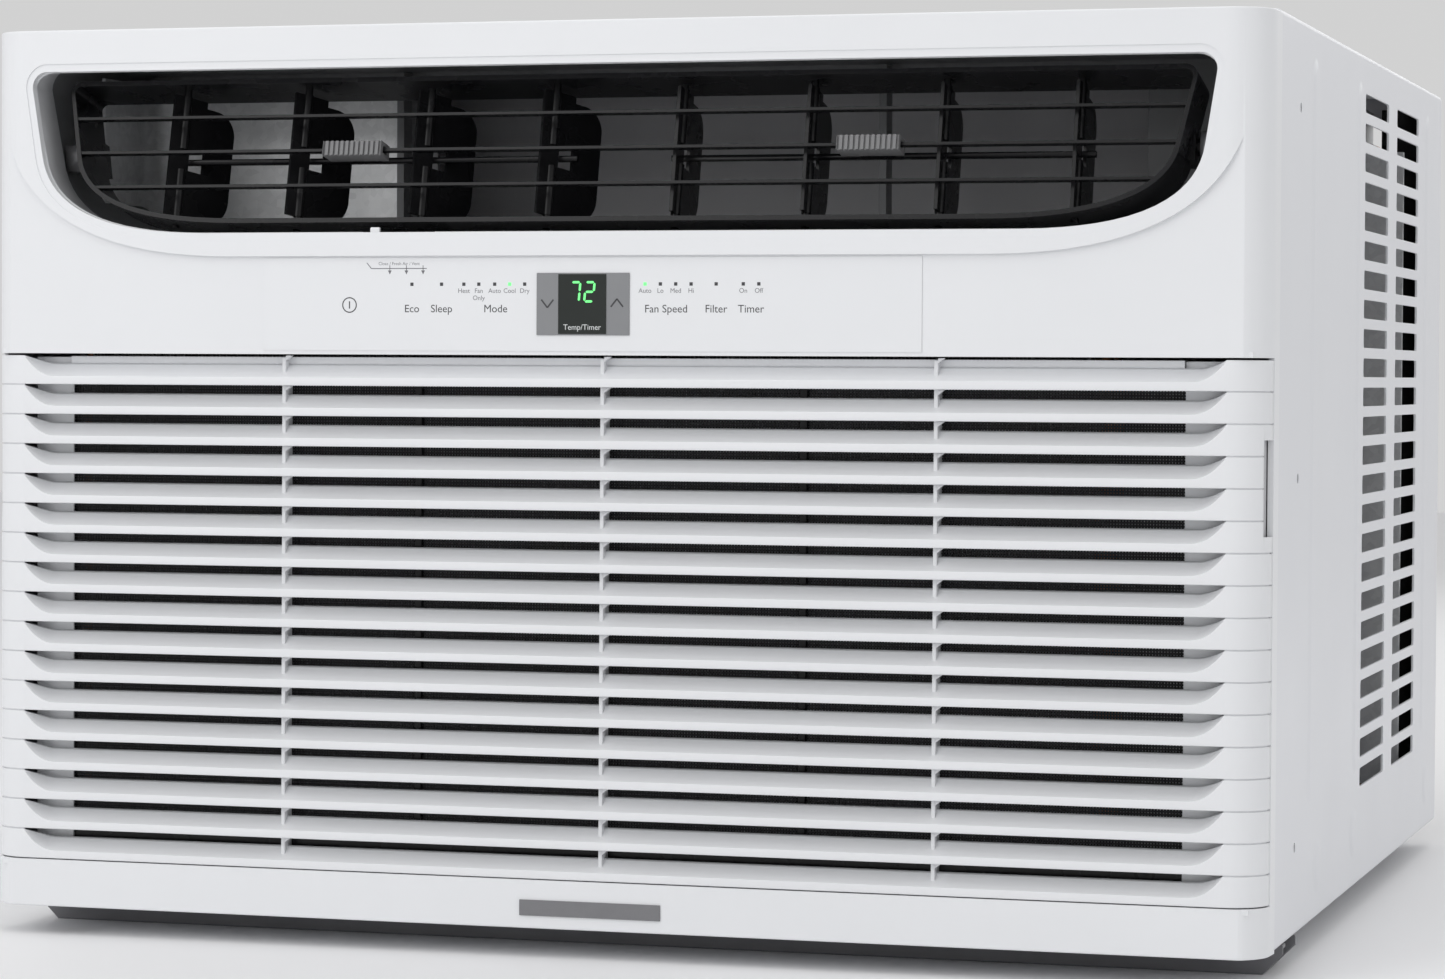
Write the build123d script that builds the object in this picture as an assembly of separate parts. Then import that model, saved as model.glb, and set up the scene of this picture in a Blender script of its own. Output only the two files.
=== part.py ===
from build123d import *
from math import cos, sin, radians
import os

# Window air conditioner with a slide-in cabinet. Millimetres. X runs to the right seen from the
# room, the room side faces -Y, Z is up. The origin is the centre of the bottom of the whole unit.

# overall sizes
width = 673.0
depth = 673.0
height = 473.0
bezel_depth = 33.0
rail_height = 15.0
sheet = 1.2
skin = 2.8                      # wall of the moulded front

side_x = width / 2
front_y = -depth / 2
back_y = depth / 2
seam_y = front_y + bezel_depth   # where the bezel meets the cabinet
face_y = front_y + 2.0           # control face and grille face, a step behind the outlet surround
floor_z = rail_height + sheet    # inner floor of the cabinet

# bezel
bezel_top = height - 1.5
surround_r = 22.0
face_r = 20.0

# intake grille
grille_z0 = 40.0
grille_z1 = 303.4
grille_back = face_y + 16.5
slat_count = 17
slat_pitch = (grille_z1 - grille_z0) / slat_count
slat_half = 312.0
hinge_y = face_y + 3.0
hinge_z = grille_z0 + 3.0

# air outlet, a D lying on its back
outlet_top = 454.0
outlet_floor = 362.0
duct_back = -190.0

# louvre frame, worked out in its own upright frame and then leaned back
louvre_half = 38.5
louvre_deep = 34.0
louvre_wall = 2.5
louvre_lean = 13.0
pivot_y = -291.5
pivot_z = 407.0
louvre_rise = -5.6               # frame centre above the pivot
stub_r = 4.0
bar_pitch = 18.5
bar_thick = 1.5

# vanes
vane_pitch = 68.0
vane_ahead = 8.0                 # pivot to front edge
vane_behind = 30.0               # pivot to rear edge
vane_top = 33.5
vane_foot = -31.5
vane_thick = 1.8
vane_pivot = 15.0                # pivot behind the frame's front rim
vane_pin_r = 2.0
link_reach = 8.0                 # vane pivot to link rod
left_turn = -33.0
right_turn = -2.0

# vent slots of the cabinet
slot_rows = 24
slot_pitch = 16.2
slot_high = 10.4
slot_top = 451.6
slot_columns = [(-9.5, 87.5), (123.5, 222.5)]
flange_set = 3.0                 # rear flange ahead of the rear edge
screw_y = -242.5
screw_heights = [60.0, 244.5, 429.0]

# fan line
shaft_x = 0.0
shaft_z = 212.0
shaft_r = 6.35
fit = 0.05                       # radial clearance of shafts and pins
wheel_r = 112.0
wheel_y = (-204.0, -132.0)
bulkhead_y = -110.0
fan_ring_r = 172.0
fan_y = (205.0, 250.0)

scroll_top = 353.5

# coils
evaporator = (-300.0, 240.0, -284.0, -240.0, 20.4, 338.0)
condenser = (-296.0, 296.0, 272.0, 318.0, 19.0, 462.0)
suction_x = 252.0
suction_z = 291.0


def block(x0, x1, y0, y1, z0, z1):
    return Pos((x0 + x1) / 2, (y0 + y1) / 2, (z0 + z1) / 2) * Box(x1 - x0, y1 - y0, z1 - z0)


def rod(axis, radius, start, end, a, b):
    # round bar along X, Y or Z from start to end; a and b are its other two places
    span, middle = end - start, (start + end) / 2
    if axis == "X":
        return Pos(middle, a, b) * Rot(0, 90, 0) * Cylinder(radius, span)
    if axis == "Y":
        return Pos(a, middle, b) * Rot(90, 0, 0) * Cylinder(radius, span)
    return Pos(a, b, middle) * Cylinder(radius, span)


def upright(sketch, y0, y1):
    # a sketch drawn in X and Z, given a thickness from y0 to y1
    return Pos(0, y1, 0) * extrude(Plane.XZ * sketch, y1 - y0)


def save(shape, node):
    export_step(shape, f"parts/{node}.step")


def d_outline(grow, top, floor, half_top, half_mid, corner_r):
    # flat top with small corners, sides that lean in, and long sweeping lower corners
    mid_z = top - 0.52 * (top - floor)
    t, f = top + grow, floor - grow
    a, b = half_top + grow, half_mid + grow
    sweep = half_mid - 94.0
    with BuildSketch() as shape:
        with BuildLine():
            Line((-a, t), (a, t))
            Line((a, t), (b, mid_z))
            Bezier((b, mid_z), (b - 6, f), (sweep, f))
            Line((sweep, f), (-sweep, f))
            Bezier((-sweep, f), (-(b - 6), f), (-b, mid_z))
            Line((-b, mid_z), (-a, t))
        make_face()
        fillet(shape.vertices().sort_by(Axis.Y)[-2:], corner_r + grow)
    return shape.sketch


def outlet_outline(grow=0.0):
    return d_outline(grow, outlet_top, outlet_floor, 316.0, 309.0, 12.0)


def louvre_outline(grow=0.0):
    return d_outline(grow, louvre_half, -louvre_half, 299.0, 291.0, 6.0)


def surround_outline():
    # edge of the raised outlet surround: a bowl between the upper corners of the bezel
    with BuildSketch() as shape:
        with BuildLine():
            Line((-345, 480), (345, 480))
            Line((345, 480), (327, 422))
            Bezier((327, 422), (312, 354), (200, 354))
            Line((200, 354), (-200, 354))
            Bezier((-200, 354), (-312, 354), (-327, 422))
            Line((-327, 422), (-345, 480))
        make_face()
    return shape.sketch


def plan_body(front, radius, z0, z1, inset=0.0, back=seam_y):
    half = side_x - inset
    body = block(-half, half, front, front + 60, z0, z1)
    body = fillet(body.edges().filter_by(Axis.Z).group_by(Axis.Y)[0], radius)
    return body & block(-half, half, front, back, z0, z1)


def make_bezel():
    outer = plan_body(front_y, surround_r, rail_height, bezel_top)
    step = block(-345, 345, front_y - 1, face_y, 0, 480)
    outer = outer - (step - upright(surround_outline(), front_y - 2, face_y + 1))
    hollow = plan_body(face_y + skin, face_r - skin, rail_height + skin, bezel_top - skin, skin, seam_y + 1)
    body = outer - hollow
    body = body - block(-340, 340, front_y - 1, face_y + 17, grille_z0 - 0.5, grille_z1 + 0.6)
    ledge_x, ledge_back = side_x - 8, face_y + 17
    body = body + block(-ledge_x, ledge_x, face_y + 1, ledge_back, grille_z0 - 3.3, grille_z0 - 0.5)
    body = body + block(-ledge_x, ledge_x, face_y + 1, ledge_back, grille_z1 + 0.6, grille_z1 + 3.4)
    body = body - upright(outlet_outline(), front_y - 1, -310)
    lip = upright(outlet_outline(2.0) - outlet_outline(-4.0), front_y + 0.5, front_y + 5.5)
    body = body + lip
    body = body - block(-312, -288, -326, -310, rail_height - 1, rail_height + 4)
    body = body - block(-127.5, -90.5, front_y + 0.7, front_y + 7, 358.9, 370)
    return body


def make_slat(z_base):
    # lip at the lower front edge, hollow curve up and back to the upper rear edge
    lip_top = z_base + 4.2
    back_top = z_base + 11.0
    back = face_y + 13.0
    with BuildSketch(Plane.YZ) as profile:
        with BuildLine():
            Line((face_y, z_base), (face_y, lip_top))
            Bezier((face_y, lip_top), (face_y + 1.5, lip_top + 4.0), (back, back_top))
            Line((back, back_top), (back, back_top - 2.0))
            Bezier((back, back_top - 2.0), (face_y + 4.5, lip_top + 2.0), (face_y + 3.0, z_base))
            Line((face_y + 3.0, z_base), (face_y, z_base))
        make_face()
    return Pos(-slat_half, 0, 0) * extrude(profile.sketch, 2 * slat_half)


def make_grille():
    outer = plan_body(face_y, face_r, grille_z0, grille_z1, 0, grille_back)
    inner = plan_body(face_y + skin, face_r - skin, grille_z0 - 1, grille_z1 + 1, skin, grille_back + 1)
    window = block(-slat_half, slat_half, face_y - 1, face_y + 5, grille_z0 + 2.5, grille_z1 - 1.0)
    body = outer - inner - window
    body = body + block(-side_x + skin, side_x - skin, face_y + 3, grille_back - 2, grille_z1 - 2.0, grille_z1)
    for row in range(slat_count):
        body = body + make_slat(grille_z0 + row * slat_pitch)
    for x in (-172.0, 0.0, 172.0):
        body = body + block(x - 1.5, x + 1.5, face_y + 4.5, grille_back - 2, grille_z0 + 1, grille_z1 - 1)
    for side in (-1, 1):
        body = body + block(*sorted((side * slat_half, side * (slat_half + 3))), face_y + 2, grille_back - 2,
                            grille_z0 + 1, grille_z1 - 1)
    heel = block(-slat_half, slat_half, face_y, grille_back - 6, grille_z0, grille_z0 + 2.6)
    body = body + heel
    # the lower front edge is rounded about the hinge line, so that it clears the band below
    corner = block(-340, 340, face_y - 1, hinge_y, grille_z0 - 1, hinge_z)
    body = body - (corner - rod("X", 3.0, -341, 341, hinge_y, hinge_z))
    for side in (-1, 1):
        notch = block(side * side_x - 5, side * side_x + 5, grille_back - 6.0, grille_back + 1, 219.5, 266.0)
        body = body - notch
        ear = block(*sorted((side * 311, side * 320)), face_y + 0.5, grille_back - 6, grille_z0 + 0.4, hinge_z + 5)
        body = body + (ear & outer)
        body = body - rod("X", 2.0 + fit, *sorted((side * 312.2, side * 325)), hinge_y, hinge_z)
    return body


def make_grille_pins():
    return Compound([rod("X", 2.0, *sorted((side * 312.5, side * 321)), hinge_y, hinge_z) for side in (-1, 1)])


def make_filter():
    x, z0, z1 = 308.0, 47.0, 298.0
    y0, y1 = grille_back - 1.8, grille_back + 3.2
    frame = block(-x, x, y0, y1, z0, z1) - block(-x + 8, x - 8, y0 - 1, y1 + 1, z0 + 8, z1 - 8)
    for cross in (-102.0, 102.0):
        frame = frame + block(cross - 2, cross + 2, y0, y1, z0 + 4, z1 - 4)
    end = x - 8
    panes = [(-end, -104.0), (-100.0, 100.0), (104.0, end)]
    mesh = [block(x0, x1, y0 + 2, y0 + 2.6, z0 + 8, z1 - 8) for x0, x1 in panes]
    return frame, Compound(mesh)


def louvre_place():
    # from the frame's own upright axes, front rim at y 0, to its place in the outlet
    lean = Rot(-louvre_lean, 0, 0)
    return Pos(0, pivot_y, pivot_z) * lean * Pos(0, -louvre_deep + 2.0, louvre_rise)


def vane_centres():
    return [(i - 3.5) * vane_pitch for i in range(8)]


def make_louvre_frame():
    ring = louvre_outline() - louvre_outline(-louvre_wall)
    body = upright(ring, 0, louvre_deep)
    inside = upright(louvre_outline(-0.5), 0.5, 6)
    for step in (-1, 0, 1):
        z = step * bar_pitch
        body = body + (block(-300, 300, 0.5, 5, z - bar_thick / 2, z + bar_thick / 2) & inside)
    for x in vane_centres():
        body = body - rod("Z", vane_pin_r + fit, -45, 45, x, vane_pivot)
    stub_y, stub_z = louvre_deep - 2.0, -louvre_rise
    for side in (-1, 1):
        ear = block(*sorted((side * 287, side * 294)), stub_y - 9, stub_y + 7, stub_z - 9, stub_z + 9)
        body = body + (ear - upright(louvre_outline(-louvre_wall), -1, louvre_deep + 9))
        body = body + rod("X", stub_r, *sorted((side * 293, side * 303)), stub_y, stub_z)
    return body


def make_pivot_bushes():
    bushes = []
    for side in (-1, 1):
        disc = rod("X", 8.0, *sorted((side * 296, side * 300)), pivot_y, pivot_z)
        arm = block(*sorted((side * 300, side * 311.5)), pivot_y - 4, pivot_y + 10, pivot_z - 7, pivot_z + 7)
        hole = rod("X", stub_r + fit, *sorted((side * 290, side * 304)), pivot_y, pivot_z)
        bushes.append(disc + arm - hole)
    return Compound(bushes)


def make_vane(turn):
    # flat blade with rounded rear corners, a raised front strip, two pins and the link window
    with BuildSketch(Plane.YZ) as profile:
        with BuildLine():
            Line((-vane_ahead, vane_foot), (-vane_ahead, vane_top))
            Line((-vane_ahead, vane_top), (12, vane_top))
            Line((12, vane_top), (12, vane_top - 3.5))
            Line((12, vane_top - 3.5), (18, vane_top - 3.5))
            JernArc((18, vane_top - 3.5), (1, 0), 12, -90)
            Line((30, vane_top - 15.5), (30, vane_foot + 14.5))
            JernArc((30, vane_foot + 14.5), (0, -1), 14.5, -90)
            Line((15.5, vane_foot), (-vane_ahead, vane_foot))
        make_face()
    blade = Pos(-vane_thick / 2, 0, 0) * extrude(profile.sketch, vane_thick)
    window = block(-5, 5, link_reach - 4.5, link_reach + 4.5, -5.5, 5.5)
    blade = blade - window
    post = rod("Z", 2.6, vane_foot, vane_top, 0, 0) - window
    blade = blade + (post - block(-4, 4, -4, 4, -5.5, 5.5))
    blade = blade + rod("Z", vane_pin_r, vane_top - 1, louvre_half - 0.5, 0, 0)
    blade = blade + rod("Z", vane_pin_r, -louvre_half + 1.5, vane_foot + 1, 0, 0)
    return Rot(0, 0, turn) * blade


def make_link(turn, centres, grip_x):
    # square rod through the four windows, with a stem forward to the grip on the middle bar
    angle = radians(turn)
    x_shift, y_shift = -link_reach * sin(angle), link_reach * cos(angle)
    y = vane_pivot + y_shift
    x0, x1 = centres[0] + x_shift - 7, centres[-1] + x_shift + 7
    link = block(x0, x1, y - 1.3, y + 1.3, -1.4, 1.4)
    stem = block(grip_x - 8, grip_x + 8, 9.0, y - 1.3, -1.4, 1.4)
    link = link + stem
    grip = block(grip_x - 16, grip_x + 16, -3.5, 9.0, -3.8, 3.8) - block(grip_x - 20, grip_x + 20, -0.2, 6.6, -1.8, 1.8)
    for i in range(12):
        x = grip_x - 15 + i * 30 / 11
        grip = grip - block(x - 0.55, x + 0.55, -4, -2.4, -5, 5)
    return link, grip


def make_cabinet():
    wrap = block(-side_x, side_x, seam_y, back_y, rail_height, height)
    wrap = wrap - block(-side_x + sheet, side_x - sheet, seam_y - 1, back_y + 1, floor_z, height - sheet)
    flange_y = back_y - flange_set
    rear = block(-side_x, side_x, flange_y - sheet, flange_y, rail_height, height)
    rear = rear - block(-side_x + 22, side_x - 22, flange_y - 3, flange_y + 1, floor_z + 16, height - 18)
    wrap = wrap + rear
    for row in range(slot_rows):
        top = slot_top - row * slot_pitch
        for y0, y1 in slot_columns:
            wrap = wrap - block(-340, 340, y0, y1, top - slot_high, top)
    for z in screw_heights:
        for side in (-1, 1):
            wrap = wrap - rod("X", 2.6, side * 335 - 4, side * 335 + 4, screw_y, z)
    return wrap


def make_cabinet_screws():
    # pan heads on the rear flange
    face = back_y - flange_set
    screws = []
    for x in (-325.5, 325.5):
        for z in (36.0, 244.5, 452.0):
            head = rod("Y", 4.0, face, face + 2.4, x, z)
            head = fillet(head.edges().filter_by(GeomType.CIRCLE).group_by(Axis.Y)[-1], 1.6)
            screws.append(head - block(x - 0.5, x + 0.5, face + 1.2, face + 3, z - 3, z + 3))
    return Compound(screws)


def make_feet():
    # two rubber pads that hold the rear level with the rail
    feet = []
    for x in (-250.0, 250.0):
        pad = block(x - 30, x + 30, 255, 285, 0, rail_height)
        feet.append(fillet(pad.edges().filter_by(Axis.Z), 8))
    return Compound(feet)


def make_rail():
    y0, y1 = seam_y + 30, seam_y + 72
    body = block(-side_x + 0.5, side_x - 0.5, y0, y1, 0, rail_height)
    body = body - block(-340, 340, y0 + 2, y1 - 2, 2, rail_height + 1)
    lip = block(-side_x + 0.5, side_x - 0.5, y0, y0 + 9, rail_height - 2, rail_height)
    body = body + lip
    for side in (-1, 1):
        cut = Pos(side * side_x, (y0 + y1) / 2, 0) * Rot(0, 45, 0) * Box(15, 80, 15)
        body = body - cut
    return body


def make_base_pan():
    x, y0, y1, rim = 330.0, -296.0, 330.0, 30.0
    pan = block(-x, x, y0, y1, floor_z, floor_z + rim) - block(-x + sheet, x - sheet, y0 + sheet, y1 - sheet,
                                                             floor_z + sheet, floor_z + rim + 1)
    return pan


def make_drain_pan():
    top_of_floor = 20.4
    tray = block(-318, 262, -292, -230, floor_z + sheet, 44)
    return tray - block(-315, 259, -289, -233, top_of_floor, 45)


def make_bends(ends, y_rows, z_first, z_step, count, radius, tube):
    # hairpin returns standing on the coil's end faces
    bends = []
    for x, way in ends:
        for y in y_rows:
            for i in range(count):
                z = z_first + i * z_step
                half_ring = Torus(radius, tube) & Pos(0, radius, 0) * Box(4 * radius, 2 * radius, 4 * tube)
                half_ring = Rot(0, 0, -90 * way) * half_ring
                bends.append(Pos(x, y, z) * Rot(90, 0, 0) * half_ring)
    return Compound(bends)


def make_coil(size):
    x0, x1, y0, y1, z0, z1 = size
    fins = block(x0 + 1.5, x1 - 1.5, y0, y1, z0 + 3, z1 - 3)
    for x in (x0, x1 - 1.5):
        fins = fins + block(x, x + 1.5, y0 - 1.5, y1 + 1.5, z0, z1)
    return fins


def make_bulkhead():
    wall = block(-322, 322, bulkhead_y, bulkhead_y + 1.5, floor_z + sheet, 466)
    wall = wall - rod("Y", 16, bulkhead_y - 2, bulkhead_y + 4, shaft_x, shaft_z)
    wall = wall - block(-228, -170, bulkhead_y - 2, bulkhead_y + 4, 284, 336)
    wall = wall - rod("Y", 7.5, bulkhead_y - 2, bulkhead_y + 4, suction_x, suction_z)
    return wall


def scroll_outline(grow):
    # spiral that opens to a throat on the right, level with the duct floor
    steps = 12
    with BuildSketch() as spiral:
        with BuildLine():
            points = []
            for i in range(steps + 1):
                angle = radians(100 + i * 260 / steps)
                reach = wheel_r + 10 + grow + 34 * i / steps
                points.append((shaft_x + reach * cos(angle), shaft_z + reach * sin(angle)))
            first, last = points[0], points[-1]
            Spline(points)
            Line(last, (last[0], scroll_top))
            Line((last[0], scroll_top), (first[0], scroll_top))
            Line((first[0], scroll_top), first)
        make_face()
    return spiral.sketch


def make_scroll():
    y0, y1 = -222.0, bulkhead_y
    shell = upright(scroll_outline(2.0), y0, y1) - upright(scroll_outline(0.0), y0 + 2, y1 + 1)
    throat = block(18, 138, y0 + 2, y1 - 2, scroll_top - 3, scroll_top + 3)
    return shell - throat - rod("Y", wheel_r - 10, y0 - 1, y0 + 3, shaft_x, shaft_z)


def make_duct():
    y0 = front_y + 6.0
    outer, inner = outlet_outline(6.0), outlet_outline(4.0)
    body = upright(outer - inner, y0, duct_back)
    back = upright(outlet_outline(4.5), duct_back - 2.0, duct_back)
    back = back - block(-140, 250, duct_back - 4, duct_back + 1, 368, 446)
    body = body + back
    body = body - block(20, 136, -221, duct_back - 2.0, 350, 359)
    for x in (-157, 112):
        body = body + block(x - 2, x + 2, duct_back - 14, duct_back - 2, 359, 457)
    lever_slot = block(-128, -88, -324, -317, 350, 361)
    return body - lever_slot


def make_heater_shield():
    back = duct_back - 2.5
    with BuildSketch(Plane.XY) as plan:
        with BuildLine():
            Line((-306, -262), (-306, -215))
            Bezier((-306, -215), (-304, back - 0.5), (-270, back - 0.5))
            Line((-270, back - 0.5), (-162, back - 0.5))
            Line((-162, back - 0.5), (-162, back - 2.5))
            Line((-162, back - 2.5), (-270, back - 2.5))
            Bezier((-270, back - 2.5), (-301, back - 2.5), (-304, -215))
            Line((-304, -215), (-304, -262))
            Line((-304, -262), (-306, -262))
        make_face()
    sheet_metal = Pos(0, 0, 366) * extrude(plan.sketch, 86)
    return sheet_metal & upright(outlet_outline(3.5), -270, duct_back)


def make_blower():
    y0, y1 = wheel_y
    wheel = rod("Y", wheel_r - 4, y1 - 2, y1, shaft_x, shaft_z)
    ring = rod("Y", wheel_r, y0, y0 + 4, shaft_x, shaft_z) - rod("Y", wheel_r - 14, y0 - 1, y0 + 5, shaft_x, shaft_z)
    wheel = wheel + ring + rod("Y", 16, y1 - 30, y1, shaft_x, shaft_z)
    blades = 30
    for i in range(blades):
        blade = Pos(wheel_r - 9, 0, 0) * Rot(0, 35, 0) * Box(10, y1 - y0 - 3, 1.4)
        blade = Pos(shaft_x, (y0 + y1) / 2, shaft_z) * Rot(0, i * 360 / blades, 0) * blade
        wheel = wheel + blade
    return wheel - rod("Y", shaft_r, y0 - 1, y1 + 1, shaft_x, shaft_z)


def make_condenser_fan():
    y0, y1 = fan_y
    fan = rod("Y", 34, y0 + 2, y1 - 6, shaft_x, shaft_z)
    ring = rod("Y", fan_ring_r, y0 + 4, y1 - 4, shaft_x, shaft_z)
    ring = ring - rod("Y", fan_ring_r - 3, y0 + 3, y1, shaft_x, shaft_z)
    fan = fan + ring
    for i in range(5):
        blade = Pos(100, 0, 0) * Rot(32, 0, 0) * Box(140, 3, 62)
        blade = Pos(shaft_x, (y0 + y1) / 2, shaft_z) * Rot(0, i * 72, 0) * blade
        fan = fan + blade
    fan = fan & rod("Y", fan_ring_r, y0, y1, shaft_x, shaft_z)
    return fan - rod("Y", shaft_r, y0 - 1, y1 + 1, shaft_x, shaft_z)


def make_shroud():
    plate = block(-294, 294, 262, 264, floor_z + sheet, 464)
    tunnel = rod("Y", 184, 216, 263, shaft_x, shaft_z)
    body = plate + tunnel - rod("Y", 181, 210, 270, shaft_x, shaft_z)
    body = body & block(-340, 340, 200, 270, floor_z + sheet, 466)
    # a wing each side closes the gap to the cabinet; the left one is notched for the discharge line
    for side in (-1, 1):
        body = body + block(*sorted((side * 292, side * 300)), 224, 264, 48, 432)
        body = body + block(*sorted((side * 292, side * 328)), 222, 224, 48, 432)
    return body - block(-330, -285, 200, 300, 285, 342)


def make_side_seals():
    # foam strips between the coil's end plates and the cabinet
    seals = []
    for side in (-1, 1):
        seals.append(block(*sorted((side * 309, side * 334)), 262, 328, 50, 460))
    strips = Compound(seals)
    return strips - block(-330, -300, 255, 312, 285, 342)


def make_motor():
    body = rod("Y", 62, -84, 14, shaft_x, shaft_z) + rod("Y", 22, -92, 24, shaft_x, shaft_z)
    body = fillet(body.edges().filter_by(GeomType.CIRCLE).filter_by(lambda e: abs(e.radius - 62) < 0.1), 8)
    return body - rod("Y", shaft_r + fit, -100, 40, shaft_x, shaft_z)


def make_motor_bracket():
    ring = rod("Y", 68, -60, -20, shaft_x, shaft_z) - rod("Y", 62, -70, 0, shaft_x, shaft_z)
    body = ring
    for side in (-1, 1):
        leg = block(*sorted((side * 66, side * 72)), bulkhead_y + 1.5, -20, shaft_z - 14, shaft_z + 14)
        foot = block(*sorted((side * 66, side * 100)), bulkhead_y + 1.5, bulkhead_y + 4.5, shaft_z - 14, shaft_z + 14)
        body = body + leg + foot
    return body


def make_compressor():
    x, y = -215.0, 70.0
    shell = rod("Z", 70, 37, 272, x, y)
    shell = fillet(shell.edges().filter_by(GeomType.CIRCLE), 24)
    dome = rod("Z", 26, 262, 284, x, y) + rod("Z", 4.7, 283, 292, x + 10, y)
    plate = block(x - 88, x + 88, y - 78, y + 78, 34, 37) - rod("Z", 50, 20, 50, x, y)
    plate = fillet(plate.edges().filter_by(Axis.Z).filter_by(lambda e: e.center().X < x - 80 or e.center().X > x + 80), 20)
    grommets = []
    for sx in (-1, 1):
        for sy in (-1, 1):
            foot = rod("Z", 11, floor_z + sheet, 34, x + sx * 74, y + sy * 62)
            grommets.append(foot)
    tank = fillet(rod("Z", 24, 90, 230, x + 103, y + 20).edges().filter_by(GeomType.CIRCLE), 14)
    tank = tank + rod("Z", 4.7, 229, 246, x + 103, y + 20)
    return shell + dome, plate, Compound(grommets), tank


def make_tube(points, radii, tube_r):
    path = FilletPolyline(*points, radius=radii)
    start = path @ 0
    return sweep(Plane(origin=start, z_dir=path % 0) * Circle(tube_r), path=path)


def make_lines():
    discharge = make_tube([(-205, 70, 292), (-205, 70, 330), (-313, 70, 330), (-313, 295, 330),
                           (condenser[0], 295, 330)], [16, 24, 7], 4.7)
    suction = make_tube([(-112, 90, 246), (-112, 90, 320), (-112, -60, 320), (suction_x, -60, 320),
                         (suction_x, -60, suction_z), (suction_x, -262, suction_z), (evaporator[1], -262, suction_z)],
                        10.0, 4.7)
    return discharge, suction


def make_electrics():
    box = block(268, 326, -288, -200, 60, 290)
    box = box - block(269.2, 324.8, -289, -201.2, 61.2, 288.8)
    lid = block(268, 326, -290, -288.2, 60, 290)
    can = rod("Z", 21, 80, 160, 297, -240) + rod("Z", 24, 66, 80, 297, -240)
    board = block(-170, 150, -321.5, -320, 310, 352)
    chips = block(-120, -80, -320, -311, 318, 344) + block(20, 90, -320, -306, 316, 346)
    return box, lid, can, board + chips


def make_vent():
    tab = block(-122.5, -117.5, -335.4, -333.4, 359.6, 368.5)
    tab = tab + block(-122.5, -117.5, -334, -319, 359.6, 361.2) + block(-122.5, -117.5, -322, -319, 352, 361)
    arm = block(-122.5, -117.5, -322, -122, 352, 355)
    arm = arm + block(-180, -117.5, -126, -122, 352, 355) + block(-180, -176, -126, -122, 341, 355)
    door = block(-230.5, -167.5, bulkhead_y - 2.5, bulkhead_y - 0.5, 281, 339)
    door = door + (rod("Z", 3.0, 278, 342, -233.2, bulkhead_y - 3.4))
    posts = []
    for z0, z1 in ((266, 277.7), (342.3, 350)):
        posts.append(block(-239, -227, bulkhead_y - 7, bulkhead_y, z0, z1))
    return tab + arm, door, Compound(posts)


def make_heater():
    # two straight sheathed rods joined by half turns, across the duct mouth of the scroll
    runs = []
    for z in (60.0, 100.0, 140.0):
        runs.append(rod("X", 3.2, -150, 150, -231, z + 120))
    return Compound(runs)


def main():
    os.makedirs("parts", exist_ok=True)
    save(make_cabinet(), "cabinet")
    save(make_cabinet_screws(), "cabinet_screws")
    save(make_rail(), "bottom_rail")
    save(make_side_seals(), "side_seals")
    save(make_feet(), "rear_feet")
    save(make_base_pan(), "base_pan")
    save(make_bezel(), "front_bezel")
    save(make_grille(), "intake_grille")
    save(make_grille_pins(), "grille_pins")
    frame, mesh = make_filter()
    save(frame, "filter_frame")
    save(mesh, "filter_mesh")
    place = louvre_place()
    save(place * make_louvre_frame(), "louvre_frame")
    save(make_pivot_bushes(), "pivot_bushes")
    centres = vane_centres()
    for i, x in enumerate(centres):
        turn = left_turn if i < 4 else right_turn
        save(place * Pos(x, vane_pivot, 0) * make_vane(turn), f"vane_{i + 1}")
    for name, turn, group, grip_x in (("left", left_turn, centres[:4], -136.0), ("right", right_turn, centres[4:], 136.0)):
        link, grip = make_link(turn, group, grip_x)
        save(place * link, f"{name}_link")
        save(place * grip, f"{name}_grip")
    save(make_duct(), "outlet_duct")
    save(make_heater_shield(), "heater_shield")
    save(block(-181, 166, face_y - 0.3, face_y, 306, 353), "control_overlay")
    save(block(-33, 16, face_y - 0.9, face_y - 0.3, 314, 345.2), "display_frame")
    save(block(-21.4, 3.9, face_y - 1.2, face_y - 0.9, 314.6, 344.6), "display_window")
    save(block(-41, 33.5, face_y - 0.8, face_y, 21.5, 29.5), "badge_plate")
    save(make_drain_pan(), "drain_pan")
    save(make_coil(evaporator), "evaporator_fins")
    save(make_bends([(evaporator[0], -1), (evaporator[1], 1)], [-273, -251], 44, 38, 8, 8, 3.4), "evaporator_bends")
    save(make_coil(condenser), "condenser_fins")
    save(make_bends([(condenser[0], -1), (condenser[1], 1)], [283, 307], 50, 38, 11, 8, 3.4), "condenser_bends")
    save(make_shroud(), "condenser_shroud")
    save(make_bulkhead(), "bulkhead")
    save(make_scroll(), "blower_scroll")
    save(make_blower(), "blower_wheel")
    save(make_condenser_fan(), "condenser_fan")
    save(rod("Y", shaft_r, -210, 258, shaft_x, shaft_z), "fan_shaft")
    save(make_motor(), "fan_motor")
    save(make_motor_bracket(), "motor_bracket")
    shell, plate, grommets, tank = make_compressor()
    save(shell, "compressor")
    save(plate, "compressor_plate")
    save(grommets, "compressor_grommets")
    save(tank, "accumulator")
    discharge, suction = make_lines()
    save(discharge, "discharge_line")
    save(suction, "suction_line")
    box, lid, can, board = make_electrics()
    save(box, "control_box")
    save(lid, "control_box_lid")
    save(can, "run_capacitor")
    save(board, "control_board")
    lever, door, posts = make_vent()
    save(lever, "vent_lever")
    save(door, "vent_door")
    save(posts, "vent_hinge")
    save(make_heater(), "heater_element")
    gland = block(-311.5, -288.5, -325.5, -310.5, rail_height, rail_height + 3.5)
    save(gland - rod("Z", 4.5, 10, 25, -300, -318), "cord_gland")


main()
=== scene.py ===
import math
import random

import bmesh
import bpy
from mathutils import Matrix, Vector
from mathutils.geometry import delaunay_2d_cdt


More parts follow.
